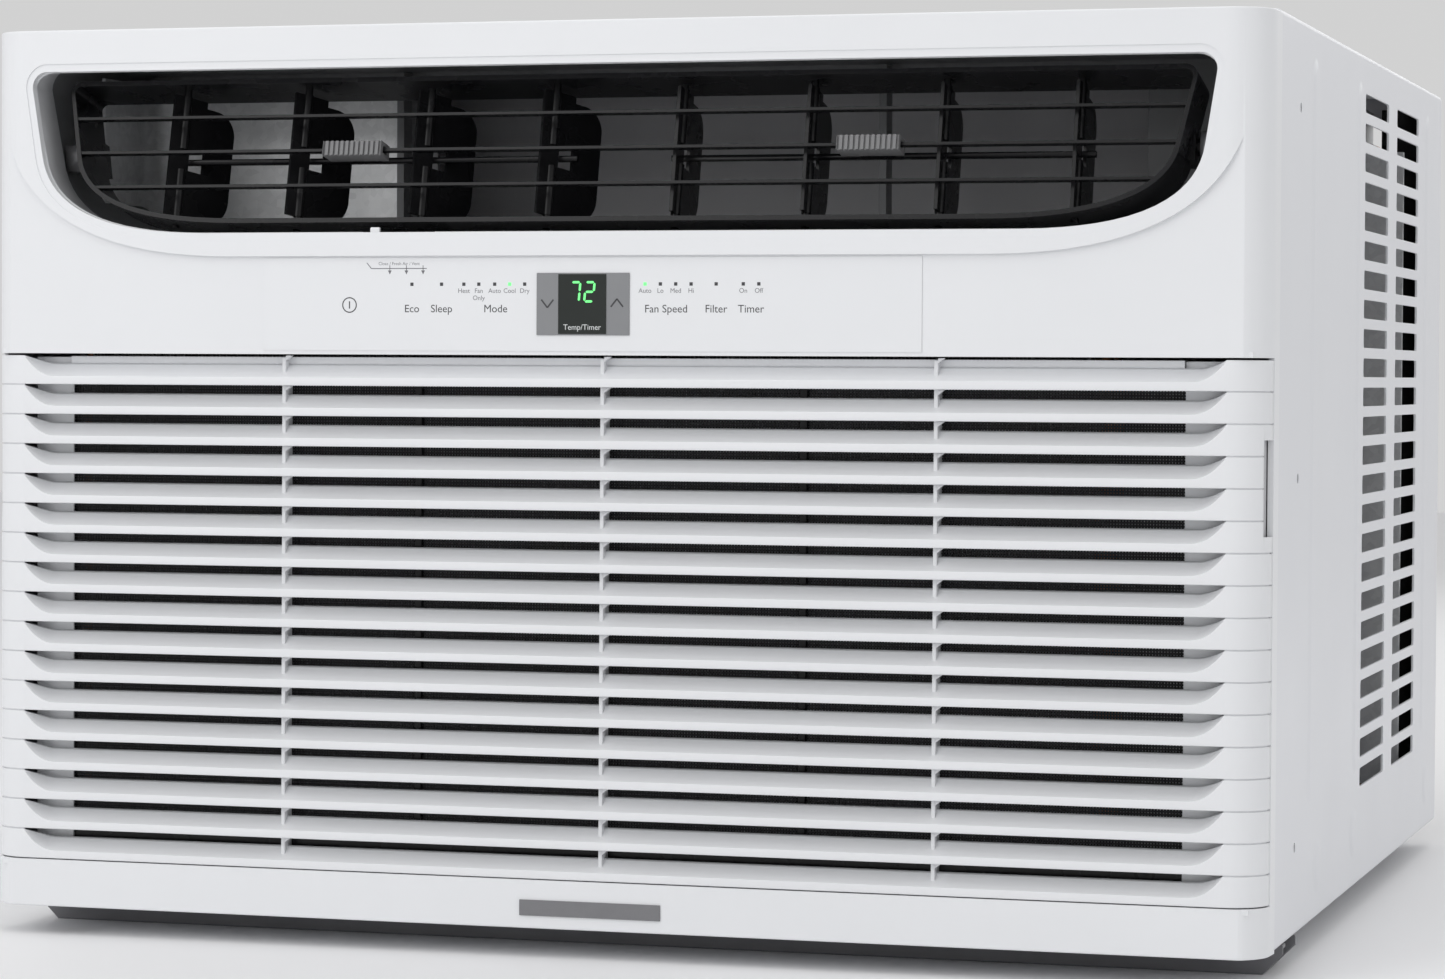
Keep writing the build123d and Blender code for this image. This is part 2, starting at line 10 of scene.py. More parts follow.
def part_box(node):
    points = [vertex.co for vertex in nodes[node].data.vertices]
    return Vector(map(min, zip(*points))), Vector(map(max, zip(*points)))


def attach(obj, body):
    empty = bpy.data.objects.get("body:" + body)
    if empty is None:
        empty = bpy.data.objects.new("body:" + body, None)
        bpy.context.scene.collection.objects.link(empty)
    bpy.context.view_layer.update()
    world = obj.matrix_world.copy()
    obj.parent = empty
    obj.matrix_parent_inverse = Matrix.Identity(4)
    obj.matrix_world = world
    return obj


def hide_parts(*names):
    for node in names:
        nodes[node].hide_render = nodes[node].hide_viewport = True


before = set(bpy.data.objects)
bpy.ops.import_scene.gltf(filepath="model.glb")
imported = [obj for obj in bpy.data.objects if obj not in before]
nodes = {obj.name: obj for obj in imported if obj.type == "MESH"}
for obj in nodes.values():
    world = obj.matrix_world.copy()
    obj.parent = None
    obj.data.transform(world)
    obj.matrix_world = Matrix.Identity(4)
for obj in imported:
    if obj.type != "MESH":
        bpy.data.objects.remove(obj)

# Window air conditioner: the room side faces -Y, Z is up, metres.
# Sizes in the dictionaries below are in millimetres.

mm = 0.001
random.seed(11)
for name in ("Cube", "Light", "Camera"):            # what a fresh file holds
    if name in bpy.data.objects:
        bpy.data.objects.remove(bpy.data.objects[name])
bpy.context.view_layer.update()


# finishes, one for each material slot of the record: colour, second colour of the mottling, roughness, metal,
# grain size of the surface in mm, depth of that grain in mm, size of the mottling in mm
finishes = {
    "white_plastic": dict(colour=(0.80, 0.81, 0.83), other=(0.77, 0.78, 0.80),
                          rough=0.34, grain=0.7, depth=0.012, mottle=60),
    "white_steel": dict(colour=(0.76, 0.77, 0.80), other=(0.73, 0.74, 0.77),
                        rough=0.38, grain=1.6, depth=0.02, mottle=90),
    "grey_steel": dict(colour=(0.17, 0.17, 0.18), other=(0.14, 0.14, 0.15),
                       rough=0.42, grain=1.2, depth=0.03, mottle=40),
    "black_plastic": dict(colour=(0.006, 0.006, 0.007), other=(0.010, 0.010, 0.011),
                          rough=0.26, sheen=0.25, grain=0.5, depth=0.02, mottle=25),
    "grip_plastic": dict(colour=(0.20, 0.20, 0.205), other=(0.16, 0.16, 0.165),
                         rough=0.45, grain=0.4, depth=0.03, mottle=12),
    "duct_plastic": dict(colour=(0.26, 0.265, 0.275), other=(0.22, 0.225, 0.235),
                         rough=0.40, grain=0.8, depth=0.03, mottle=50),
    "galvanised": dict(colour=(0.80, 0.81, 0.82), other=(0.70, 0.71, 0.72),
                       rough=0.38, metal=0.6, grain=2, depth=0.02, mottle=14),
    # flat grey in place of the bulkhead's galvanised steel: painted shade for its depth behind the outlet
    "bulkhead_painted_shade": dict(colour=(0.62, 0.62, 0.64), other=(0.56, 0.56, 0.58),
                           rough=0.5, grain=2, depth=0.02, mottle=60),
    # white plastic of the notch pockets painted mid-grey: painted shade inside the finger notches
    "notch_pocket_painted_shade": dict(colour=(0.50, 0.505, 0.52), other=(0.46, 0.465, 0.48),
                        rough=0.45, grain=0.7, depth=0.02, mottle=60),
    "fin_stock": dict(colour=(0.60, 0.61, 0.62), other=(0.50, 0.51, 0.52),
                      rough=0.38, metal=0.85, grain=2, depth=0.05, mottle=30),
    "copper": dict(colour=(0.72, 0.33, 0.18), other=(0.42, 0.17, 0.09),
                   rough=0.32, metal=1.0, grain=3, depth=0.02, mottle=22),
    "filter_net": dict(colour=(0.012, 0.012, 0.013), other=(0.022, 0.022, 0.024),
                       rough=0.6, grain=0.6, depth=0.02, mottle=20),
    "overlay_film": dict(colour=(0.79, 0.80, 0.82), other=(0.775, 0.785, 0.805),
                         rough=0.42, grain=0.3, depth=0.006, mottle=40),
    "display_grey": dict(colour=(0.24, 0.245, 0.255), other=(0.22, 0.225, 0.235),
                         rough=0.40, grain=0.3, depth=0.008, mottle=15),
    "display_glass": dict(colour=(0.012, 0.016, 0.014), other=(0.016, 0.020, 0.018),
                          rough=0.12, grain=2, depth=0.002, mottle=15),
    "badge_grey": dict(colour=(0.22, 0.22, 0.23), other=(0.19, 0.19, 0.20),
                       rough=0.30, metal=0.4, grain=0.4, depth=0.01, mottle=8),
    "bush_plastic": dict(colour=(0.34, 0.34, 0.35), other=(0.28, 0.28, 0.29),
                         rough=0.35, metal=0.3, grain=0.5, depth=0.02, mottle=6),
    "screw_steel": dict(colour=(0.62, 0.62, 0.60), other=(0.48, 0.48, 0.46),
                        rough=0.28, metal=1.0, grain=0.6, depth=0.01, mottle=3),
    "shaft_steel": dict(colour=(0.56, 0.56, 0.57), other=(0.44, 0.44, 0.45),
                        rough=0.25, metal=1.0, grain=0.5, depth=0.01, mottle=9),
    "motor_steel": dict(colour=(0.36, 0.37, 0.38), other=(0.28, 0.29, 0.30),
                        rough=0.36, metal=0.7, grain=1.2, depth=0.02, mottle=25),
    "compressor_paint": dict(colour=(0.014, 0.014, 0.015), other=(0.026, 0.026, 0.027),
                             rough=0.26, grain=1.6, depth=0.05, mottle=35),
    "rubber": dict(colour=(0.020, 0.020, 0.020), other=(0.034, 0.034, 0.033),
                   rough=0.72, grain=0.8, depth=0.05, mottle=8),
    "fan_plastic": dict(colour=(0.050, 0.051, 0.053), other=(0.038, 0.039, 0.041),
                        rough=0.42, grain=0.8, depth=0.03, mottle=40),
    "board_green": dict(colour=(0.020, 0.120, 0.050), other=(0.014, 0.090, 0.038),
                        rough=0.35, grain=1.0, depth=0.01, mottle=12),
    "capacitor_can": dict(colour=(0.60, 0.61, 0.62), other=(0.50, 0.51, 0.52),
                          rough=0.22, metal=1.0, grain=0.8, depth=0.01, mottle=18),
    "heater_sheath": dict(colour=(0.30, 0.24, 0.20), other=(0.20, 0.15, 0.13),
                          rough=0.45, metal=0.8, grain=0.8, depth=0.03, mottle=10),
    "legend_ink": dict(colour=(0.035, 0.035, 0.040), other=(0.050, 0.050, 0.055),
                       rough=0.50, grain=0.2, depth=0.004, mottle=3),
    "small_ink": dict(colour=(0.15, 0.15, 0.165), other=(0.18, 0.18, 0.195),
                      rough=0.50, grain=0.2, depth=0.004, mottle=3),
    "caption_ink": dict(colour=(0.70, 0.72, 0.72), other=(0.62, 0.64, 0.64),
                        rough=0.50, grain=0.2, depth=0.004, mottle=3),
}


def makeFinish(name, colour, other, rough, grain, depth, mottle, metal=0.0, sheen=0.5, glow=None):
    paint = bpy.data.materials.new(name)
    paint.use_nodes = True
    tree = paint.node_tree
    shader = tree.nodes["Principled BSDF"]
    shader.inputs["Metallic"].default_value = metal
    shader.inputs["Specular IOR Level"].default_value = sheen
    place = tree.nodes.new("ShaderNodeTexCoord")
    cloud = tree.nodes.new("ShaderNodeTexNoise")      # slow change of tone
    cloud.inputs["Scale"].default_value = 1 / (mottle * mm)
    cloud.inputs["Detail"].default_value = 3
    tree.links.new(place.outputs["Object"], cloud.inputs["Vector"])
    tone = tree.nodes.new("ShaderNodeMix")
    tone.data_type = "RGBA"
    tone.inputs[6].default_value = (*colour, 1)
    tone.inputs[7].default_value = (*other, 1)
    tree.links.new(cloud.outputs["Fac"], tone.inputs[0])
    tree.links.new(tone.outputs[2], shader.inputs["Base Color"])
    fine = tree.nodes.new("ShaderNodeTexNoise")       # moulded, rolled or painted grain
    fine.inputs["Scale"].default_value = 1 / (grain * mm)
    fine.inputs["Detail"].default_value = 2
    tree.links.new(place.outputs["Object"], fine.inputs["Vector"])
    gloss = tree.nodes.new("ShaderNodeMapRange")
    gloss.inputs["To Min"].default_value = rough - 0.05
    gloss.inputs["To Max"].default_value = rough + 0.07
    tree.links.new(cloud.outputs["Fac"], gloss.inputs["Value"])
    tree.links.new(gloss.outputs["Result"], shader.inputs["Roughness"])
    bump = tree.nodes.new("ShaderNodeBump")
    bump.inputs["Strength"].default_value = 0.5
    bump.inputs["Distance"].default_value = depth * mm
    tree.links.new(fine.outputs["Fac"], bump.inputs["Height"])
    tree.links.new(bump.outputs["Normal"], shader.inputs["Normal"])
    if glow:
        shader.inputs["Emission Color"].default_value = (*glow, 1)
        shader.inputs["Emission Strength"].default_value = 1.0
    return paint


def spangle(paint, size=3.5 * mm):
    # zinc crystals: each cell of the coating has its own tone
    tree = paint.node_tree
    cells = tree.nodes.new("ShaderNodeTexVoronoi")
    cells.inputs["Scale"].default_value = 1 / size
    place = tree.nodes["Texture Coordinate"]
    tree.links.new(place.outputs["Object"], cells.inputs["Vector"])
    tone = tree.nodes["Mix"]
    split = tree.nodes.new("ShaderNodeSeparateColor")
    tree.links.new(cells.outputs["Color"], split.inputs["Color"])
    tree.links.new(split.outputs["Red"], tone.inputs[0])


finish = {name: makeFinish(name, **values) for name, values in finishes.items()}
finish["green_light"] = makeFinish("green_light", (0.10, 0.55, 0.16), (0.08, 0.48, 0.13), 0.4, 0.3, 0.004, 3,
                                   glow=(0.16, 0.85, 0.22))
spangle(finish["galvanised"])
print("finishes made:", len(finish))


# edge rounding of the CAD parts that stay, in mm
edgeRounds = {
    "louvre_frame": 0.5, "bottom_rail": 0.6, "badge_plate": 0.3, "display_frame": 0.2, "display_window": 0.1,
    "left_grip": 0.25, "right_grip": 0.25, "outlet_duct": 0.8, "heater_shield": 0.4, "control_box": 0.8,
    "control_box_lid": 0.5, "vent_lever": 0.4, "compressor_plate": 0.6, "base_pan": 0.6, "drain_pan": 0.8,
    "condenser_shroud": 0.5, "motor_bracket": 0.5, "vent_door": 0.4, "filter_frame": 0.6,
              "blower_scroll": 0.5,
}
for name, part in nodes.items():
    # the bulkhead gets the flat grey of painted shade in place of its galvanised finish
    slotName = "bulkhead_painted_shade" if name == "bulkhead" else part.data.materials[0].name.split(".")[0]
    for holder in part.material_slots:
        holder.material = finish[slotName]
    weld = part.modifiers.new("Weld", "WELD")
    weld.merge_threshold = 0.002 * mm
    if name in edgeRounds or name.startswith("vane_"):
        soften = part.modifiers.new("Bevel", "BEVEL")
        soften.width = edgeRounds.get(name, 0.35) * mm
        soften.segments = 2
        soften.limit_method = "ANGLE"
        soften.angle_limit = math.radians(50)
    part.modifiers.new("WeightedNormal", "WEIGHTED_NORMAL")
print("CAD parts finished:", len(nodes))


def place(piece, body, slotName, *stands):
    piece.data.materials.clear()
    piece.data.materials.append(finish[slotName])
    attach(piece, body)
    if stands:
        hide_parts(*stands)
    return piece


def newPiece(name, mesh):
    piece = bpy.data.objects.new(name, mesh)
    bpy.context.collection.objects.link(piece)
    return piece


def meshFrom(name, corners, faces, smooth=False):
    mesh = bpy.data.meshes.new(name)
    mesh.from_pydata([Vector(c) * mm for c in corners], [], faces)
    mesh.validate()
    mesh.update()
    if smooth:
        mesh.shade_smooth()
    return mesh


def addBox(corners, faces, low, high):
    # one closed box into the lists, in mm
    start = len(corners)
    x0, y0, z0 = low
    x1, y1, z1 = high
    corners += [(x0, y0, z0), (x1, y0, z0), (x1, y1, z0), (x0, y1, z0), (x0, y0, z1), (x1, y0, z1),
                (x1, y1, z1),
                (x0, y1, z1)]
    for face in ((0, 3, 2, 1), (4, 5, 6, 7), (0, 1, 5, 4), (1, 2, 6, 5), (2, 3, 7, 6), (3, 0, 4, 7)):
        faces.append([start + i for i in face])


def boxMm(node):
    low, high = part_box(node)
    return [v / mm for v in low], [v / mm for v in high]


def smoothByAngle(piece, degrees=35):
    piece.data.shade_smooth()
    mesh = piece.data
    form = bmesh.new()
    form.from_mesh(mesh)
    for edge in form.edges:
        if len(edge.link_faces) == 2 and edge.calc_face_angle(0) > math.radians(degrees):
            edge.smooth = False
    form.to_mesh(mesh)
    form.free()
    piece.modifiers.new("WeightedNormal", "WEIGHTED_NORMAL").keep_sharp = True


def softCopy(node, name, rounds):
    # a copy of a CAD shell with its flat faces joined up and its sharp edges rounded, group by group
    mesh = nodes[node].data.copy()
    mesh.name = name
    form = bmesh.new()
    form.from_mesh(mesh)
    bmesh.ops.remove_doubles(form, verts=form.verts, dist=0.002 * mm)
    bmesh.ops.dissolve_limit(form, angle_limit=math.radians(0.6), verts=form.verts, edges=form.edges)
    for chosen, radius, steps in rounds:
        picked = []
        for edge in form.edges:
            if len(edge.link_faces) != 2 or edge.calc_face_angle(0) < math.radians(40):
                continue
            ends = [v.co / mm for v in edge.verts]
            if chosen(ends[0]) and chosen(ends[1]) and edge.calc_face_angle_signed(0) != 0:
                picked.append(edge)
        if picked:
            bmesh.ops.bevel(form, geom=picked, offset=radius * mm, offset_type="OFFSET", segments=steps,
                            profile=0.5,
                            affect="EDGES", clamp_overlap=True)
    form.to_mesh(mesh)
    form.free()
    piece = newPiece(name, mesh)
    smoothByAngle(piece, 30)
    return piece


# the moulded front: rounded top, bottom and outlet lip around the intake and the outlet
bezel = dict(topRound=4.5, lipRound=0.7)
bezelLow, bezelHigh = boxMm("front_bezel")
front = softCopy("front_bezel", "front_bezel_shell", [
    (lambda p: p.z > bezelHigh[2] - 0.05 or p.z < bezelLow[2] + 0.05 and p.y < bezelHigh[1] - 0.1,
     bezel["topRound"], 5),
    (lambda p: p.y < bezelLow[1] + 3.0, bezel["lipRound"], 3),
])
place(front, "unit", "white_plastic", "front_bezel")
print("front made")


# cabinet wrap: one folded sheet with stamped beads, dimples, screw holes and vent slots
cabinet = dict(sheet=1.2, fold=3.0, slotRows=24, slotPitch=16.2, slotHigh=10.4, slotTop=451.6, slotCorner=2.2,
               slotColumns=[(-9.5, 87.5), (123.5, 222.5)], screwY=-242.5, screwHeights=(60.0, 244.5, 429.0),
               screwR=2.6,
               beads=[(-193.0, 76.0, 458.0), (-30.0, 77.0, 458.0), (266.0, 76.0, 458.0)], beadHalf=11.0,
               beadHigh=0.9,
               dimples=[(-166.0, 43.0), (-34.0, 45.5), (285.0, 43.0)], dimpleR=15.0, flangeSet=3.0,
               flangeWide=22.0)


def roundedLoop(y0, y1, z0, z1, radius, steps=4):
    loop = []
    for cy, cz, start in ((y1 - radius, z1 - radius, 0), (y0 + radius, z1 - radius, 90), (y0 + radius,
                                                                                          z0 + radius, 180),
                          (y1 - radius, z0 + radius, 270)):
        for k in range(steps + 1):
            a = math.radians(start + 90 * k / steps)
            loop.append((cy + radius * math.cos(a), cz + radius * math.sin(a)))
    return loop


def sidePanel(y0, y1, z0, z1):
    # flat panel cut round its slots and holes; the contours of beads and dimples carry their height
    c = cabinet
    points, edges, raised, holes = [], [], {}, []

    def addLoop(loop, height=0.0):
        start = len(points)
        for k, (y, z) in enumerate(loop):
            raised[(round(y, 3), round(z, 3))] = height
            points.append(Vector((y, z)))
            edges.append((start + k, start + (k + 1) % len(loop)))

    addLoop([(y0, z0), (y1, z0), (y1, z1), (y0, z1)])
    for row in range(c["slotRows"]):
        top = c["slotTop"] - row * c["slotPitch"]
        for a, b in c["slotColumns"]:
            addLoop(roundedLoop(a, b, top - c["slotHigh"], top, c["slotCorner"]))
            holes.append((a, b, top - c["slotHigh"], top))
    for z in c["screwHeights"]:
        r = c["screwR"]
        addLoop(roundedLoop(c["screwY"] - r, c["screwY"] + r, z - r, z + r, r - 0.01))
        holes.append((c["screwY"] - r, c["screwY"] + r, z - r, z + r))
    steps = [(0.0, 0.0), (1.6, 0.12), (3.4, 0.5), (5.2, 0.88), (7.0, 1.0)]
    for y, low, high in c["beads"]:
        for inset, share in steps:
            half = c["beadHalf"] - inset
            addLoop(roundedLoop(y - half, y + half, low + inset, high - inset, half - 0.01, 6),
                    share * c["beadHigh"])
    for y, z in c["dimples"]:
        for inset, share in steps:
            half = c["dimpleR"] - inset
            addLoop(roundedLoop(y - half, y + half, z - half, z + half, half - 0.01, 6),
                    share * c["beadHigh"])
    flat, _, faces, *_ = delaunay_2d_cdt(points, edges, [], 0, 0.001)
    kept = []
    for face in faces:
        middle = sum((flat[i] for i in face), Vector((0, 0))) / len(face)
        if not any(a < middle.x < b and low < middle.y < high for a, b, low, high in holes):
            kept.append(face)
    heights = [raised.get((round(p.x, 3), round(p.y, 3)), 0.0) for p in flat]
    return flat, heights, kept


def makeCabinet():
    low, high = boxMm("cabinet")
    c = cabinet
    fold = c["fold"]
    flat, heights, kept = sidePanel(low[1], high[1], low[2] + fold, high[2] - fold)
    corners, faces = [], []
    for side in (-1, 1):
        start = len(corners)
        corners += [(side * (high[0] + h), p.x, p.y) for p, h in zip(flat, heights)]
        faces += [[start + i for i in (f if side > 0 else f[::-1])] for f in kept]
    ring = []                                         # folds, top and bottom between the side panels
    for cx, cz, start in ((high[0] - fold, high[2] - fold, 0), (low[0] + fold, high[2] - fold, 90),
                          (low[0] + fold, low[2] + fold, 180), (high[0] - fold, low[2] + fold, 270)):
        for k in range(5):
            a = math.radians(start + 22.5 * k)
            ring.append((cx + fold * math.cos(a), cz + fold * math.sin(a)))
    start = len(corners)
    corners += [(x, y, z) for x, z in ring for y in (low[1], high[1])]
    n = len(ring)
    for k in range(n):
        if k % 5 == 4 and k // 5 in (1, 3):           # the side panels stand here
            continue
        a, b = start + 2 * k, start + 2 * ((k + 1) % n)
        faces.append([a, a + 1, b + 1, b])
    mesh = meshFrom("cabinet_shell", corners, faces)
    form = bmesh.new()
    form.from_mesh(mesh)
    bmesh.ops.remove_doubles(form, verts=form.verts, dist=0.02 * mm)
    bmesh.ops.recalc_face_normals(form, faces=form.faces)
    form.to_mesh(mesh)
    form.free()
    piece = newPiece("cabinet_shell", mesh)
    shell = piece.modifiers.new("Solidify", "SOLIDIFY")
    shell.thickness = c["sheet"] * mm
    shell.offset = -1
    soften = piece.modifiers.new("Bevel", "BEVEL")
    soften.width = 0.35 * mm
    soften.segments = 2
    soften.limit_method = "ANGLE"
    soften.angle_limit = math.radians(60)
    smoothByAngle(piece, 35)
    place(piece, "unit", "white_steel", "cabinet")
    corners, faces = [], []                           # turned-in rear flange
    back = high[1] - c["flangeSet"]
    x, w, t = high[0] - c["sheet"], c["flangeWide"], c["sheet"]
    addBox(corners, faces, (-x, back - t, low[2] + t), (-x + w, back, high[2] - t))
    addBox(corners, faces, (x - w, back - t, low[2] + t), (x, back, high[2] - t))
    addBox(corners, faces, (-x + w, back - t, low[2] + t), (x - w, back, low[2] + 18))
    addBox(corners, faces, (-x + w, back - t, high[2] - 18), (x - w, back, high[2] - t))
    rim = newPiece("cabinet_rear_flange", meshFrom("cabinet_rear_flange", corners, faces))
    soften = rim.modifiers.new("Bevel", "BEVEL")
    soften.width = 0.4 * mm
    soften.segments = 2
    place(rim, "unit", "white_steel")


makeCabinet()
print("cabinet made")


# outlet collar: the wall of the moulded front that runs back from the lip to the louvre frame's pivots
outlet = dict(top=454.0, floor=362.0, halfTop=316.0, halfMid=309.0, corner=12.0, collarFront=-331.8,
              collarBack=-301.0,
              lipIn=-3.6, wallIn=1.2, wall=1.6, leverSlot=(-128.0, -89.0))


def outletOutline(grow):
    # flat top with small corners, leaning sides and long sweeping lower corners, as (x, z)
    o = outlet
    midZ = o["top"] - 0.52 * (o["top"] - o["floor"])
    top, foot = o["top"] + grow, o["floor"] - grow
    a, b = o["halfTop"] + grow, o["halfMid"] + grow
    r = o["corner"]
    right = []
    for k in range(7):
        turn = math.radians(90 - 90 * k / 6)
        right.append((a - r + r * math.cos(turn), top - r + r * math.sin(turn)))
    bend = [Vector((b, midZ)), Vector((b - 6, foot)), Vector((o["halfMid"] - 94, foot))]
    for k in range(17):
        t = k / 16
        p = bend[0] * (1 - t) ** 2 + bend[1] * 2 * t * (1 - t) + bend[2] * t ** 2
        right.append((p.x, p.y))
    return right + [(-x, z) for x, z in right[::-1]]


def makeCollar():
    o = outlet
    stations = [(o["collarFront"], o["lipIn"]), (o["collarFront"] + 4, o["lipIn"] + 1.2),
                (o["collarFront"] + 9, o["lipIn"] + 3.6),
                (o["collarBack"], o["wallIn"])]
    corners, faces = [], []
    for y, grow in stations:
        corners += [(x, y, z) for x, z in outletOutline(grow)]
    n = len(outletOutline(0))
    for s in range(len(stations) - 1):
        for k in range(n):
            j = (k + 1) % n
            faces.append([s * n + k, s * n + j, (s + 1) * n + j, (s + 1) * n + k])
    mesh = meshFrom("outlet_collar", corners, faces)
    form = bmesh.new()
    form.from_mesh(mesh)
    # the floor is split at the lever slot, and the piece between is left out
    for x in o["leverSlot"]:
        geom = form.verts[:] + form.edges[:] + form.faces[:]
        bmesh.ops.bisect_plane(form, geom=geom, plane_co=(x * mm, 0, 0), plane_no=(1, 0, 0))
    gone = [f for f in form.faces if o["leverSlot"][0] < f.calc_center_median().x / mm < o["leverSlot"][1]
            and f.calc_center_median().z / mm < o["floor"] + 6]
    bmesh.ops.delete(form, geom=gone, context="FACES")
    bmesh.ops.recalc_face_normals(form, faces=form.faces)
    form.to_mesh(mesh)
    form.free()
    piece = newPiece("outlet_collar", mesh)
    shell = piece.modifiers.new("Solidify", "SOLIDIFY")
    shell.thickness = o["wall"] * mm
    shell.offset = 0
    smoothByAngle(piece, 45)
    place(piece, "unit", "white_plastic")


makeCollar()
print("outlet collar made")


# intake grille: one skin whose slats are scooped between the ends and run into plain flanks
grille = dict(rows=17, faceRound=20.0, lip=4.2, scoopTop=11.0, scoopDeep=9.0, end=316.0, sweep=17.6,
              backSweep=13.0,
              groove=0.55, grooveDeep=0.9, edge=0.7, wall=1.7, ribs=(-172.0, 0.0, 172.0), ribWide=2.0,
              cheek=294.0,
              notchLow=217.5, notchHigh=265.5, notchWide=8.4,
              pocketSet=3.2, pocketWall=1.2, pocketStart=12, pocketTurn=34, pocketOver=3, flank=336.5)


def planPoint(along, deep, face, flank, back):
    # a place on the panel's plan: along runs from -1 to 1 over the front, and past that round the corners
    r = grille["faceRound"]
    straight = flank - r
    side = -1 if along < 0 else 1
    length = abs(along)
    if length <= straight:
        return along, face + deep
    turn = (length - straight) / r
    last = math.acos((face + r - back) / r) if back < face + r else math.pi / 2
    turn = min(turn, last)
    return side * (straight + (r - deep) * math.sin(turn)), face + r - (r - deep) * math.cos(turn)


def grilleProfile(inset, pitch):
    # the rows of one slat, from its lip up to the foot of the next, as (height, depth);
    # inset is the distance from the slat's end
    g = grille
    rise = (1 - min(inset / g["sweep"], 1)) ** 2.2
    rear = (1 - min(inset / g["backSweep"], 1)) ** 1.3
    lipTop = g["lip"] + (pitch - g["groove"] - 0.35 - g["lip"]) * rise
    backTop = g["scoopTop"] + (pitch - g["groove"] - g["scoopTop"]) * rear
    deep = g["scoopDeep"] * (1 - (1 - min(inset / 15.0, 1)) ** 2.4)
    under = g["grooveDeep"] + 2.4 * min(inset / 5.0, 1)
    rows = [(0.0, under), (0.0, g["edge"]), (g["edge"] * 0.3, g["edge"] * 0.3), (g["edge"], 0.0),
            (lipTop * 0.5 + 0.3, 0.0),
            (lipTop - 0.25, 0.0), (lipTop, 0.12)]
    for step in range(1, 9):
        t = step / 8 * math.pi / 2
        rise, back = 1 - math.cos(t), math.sin(t)      # between a hollow curve and a straight ramp
        blend = step / 8
        rows.append((lipTop + (backTop - lipTop) * (0.45 * rise + 0.55 * blend),
                     0.12 + deep * (0.45 * back + 0.55 * blend)))
    return rows


def makeGrille():
    low, high = boxMm("intake_grille")
    face, back = low[1], high[1]
    flank = grille["flank"]
    pitch = (high[2] - low[2]) / grille["rows"]
    r = grille["faceRound"]
    corner = math.acos((face + r - back) / r) * r
    half = flank - r + corner
    insets = [0.0, 0.4, 1.0, 1.8, 2.8, 4.0, 5.5, 7.0, 9.0, 11.0, 13.0, 15.0, 17.6, 24.0]
    stops = sorted({-(grille["end"] - i) for i in insets} | {grille["end"] - i for i in insets}
                   | {side * (flank - r + corner * k / 9) for k in range(10) for side in (-1, 1)}
                   | {side * (half - grille["notchWide"]) for side in (-1, 1)}
                   | {x * 36.0 for x in range(-7, 8)})
    corners, faces, grid = [], [], []
    for u in stops:
        inset = grille["end"] - abs(u)
        column = []
        for row in range(grille["rows"]):
            base = low[2] + row * pitch
            hasSlot = inset > 0
            for height, deep in grilleProfile(max(inset, 0.0), pitch):
                x, y = planPoint(u, deep, face, flank, back)
                z = base + height
                column.append(len(corners))
                corners.append((x, y, z))
            if hasSlot:
                rise, deep = grilleProfile(inset, pitch)[-1]
            else:
                rise, deep = pitch - grille["groove"], grille["grooveDeep"]
            x, y = planPoint(u, deep, face, flank, back)
            column.append(len(corners))                # floor of the groove under the next lip
            corners.append((x, y, base + rise))
        grid.append(column)
    perRow = 16
    for i in range(len(stops) - 1):
        shut = grille["end"] - abs((stops[i] + stops[i + 1]) / 2) < 0.0
        a, b = grid[i], grid[i + 1]
        for k in range(len(a) - 1):
            step = k % perRow
            if step >= perRow - 2 and not shut:
                continue                              # the open slot, and its doubled rear edge
            heights = [corners[j][2] for j in (a[k], a[k + 1])]
            if (min(abs(stops[i]), abs(stops[i + 1])) > half - grille["notchWide"] - 0.01
                    and min(heights) > grille["notchLow"] and max(heights) < grille["notchHigh"]):
                continue                              # finger notch in the rear edge of the flank
            faces.append([a[k], b[k], b[k + 1], a[k + 1]])
    mesh = meshFrom("intake_grille_skin", corners, faces)
    form = bmesh.new()
    form.from_mesh(mesh)
    bmesh.ops.remove_doubles(form, verts=form.verts, dist=0.01 * mm)
    loose = [v for v in form.verts if not v.link_faces]
    bmesh.ops.delete(form, geom=loose, context="VERTS")
    form.to_mesh(mesh)
    form.free()
    piece = newPiece("intake_grille_skin", mesh)
    shell = piece.modifiers.new("Solidify", "SOLIDIFY")
    shell.thickness = grille["wall"] * mm
    shell.offset = -1
    shell.use_even_offset = False
    smoothByAngle(piece, 40)
    place(piece, "grille", "white_plastic", "intake_grille")
    return low, high, pitch


grilleLow, grilleHigh, slatPitch = makeGrille()


def makeGrilleRibs():
    # upright webs behind the slats with a small corner brace in each slot, and the side cheeks of the air way
    corners, faces = [], []
    face, back = grilleLow[1], grilleHigh[1]
    for x in grille["ribs"]:
        w = grille["ribWide"] / 2
        addBox(corners, faces, (x - w, face + 5.0, grilleLow[2] + 1.2),
               (x + w, back - 2.0, grilleHigh[2] - 1.2))
        for row in range(grille["rows"]):
            top = grilleLow[2] + (row + 1) * slatPitch - 0.1
            start = len(corners)
            for y in (face + 4.6, face + 8.0):
                corners += [(x + w, y, top), (x + w + 3.2, y, top), (x + w, y, top - 2.6)]
            faces += [[start, start + 1, start + 2], [start + 3, start + 5, start + 4],
                      [start, start + 3, start + 4,
                       start + 1],
                      [start + 1, start + 4, start + 5, start + 2], [start + 2, start + 5, start + 3, start]]
    for side in (-1, 1):
        x0, x1 = sorted((side * grille["cheek"], side * 315.0))
        addBox(corners, faces, (x0, back - 3.2, grilleLow[2] + 1.2), (x1, back - 2.0, grilleHigh[2] - 1.2))
    addBox(corners, faces, (-grille["cheek"], face + 10.0, grilleHigh[2] - 9.0),
           (grille["cheek"], face + 11.5,
            grilleHigh[2] - 0.8))
    piece = newPiece("grille_ribs", meshFrom("grille_ribs", corners, faces))
    soften = piece.modifiers.new("Bevel", "BEVEL")
    soften.width = 0.3 * mm
    soften.segments = 2
    place(piece, "grille", "white_plastic")


makeGrilleRibs()


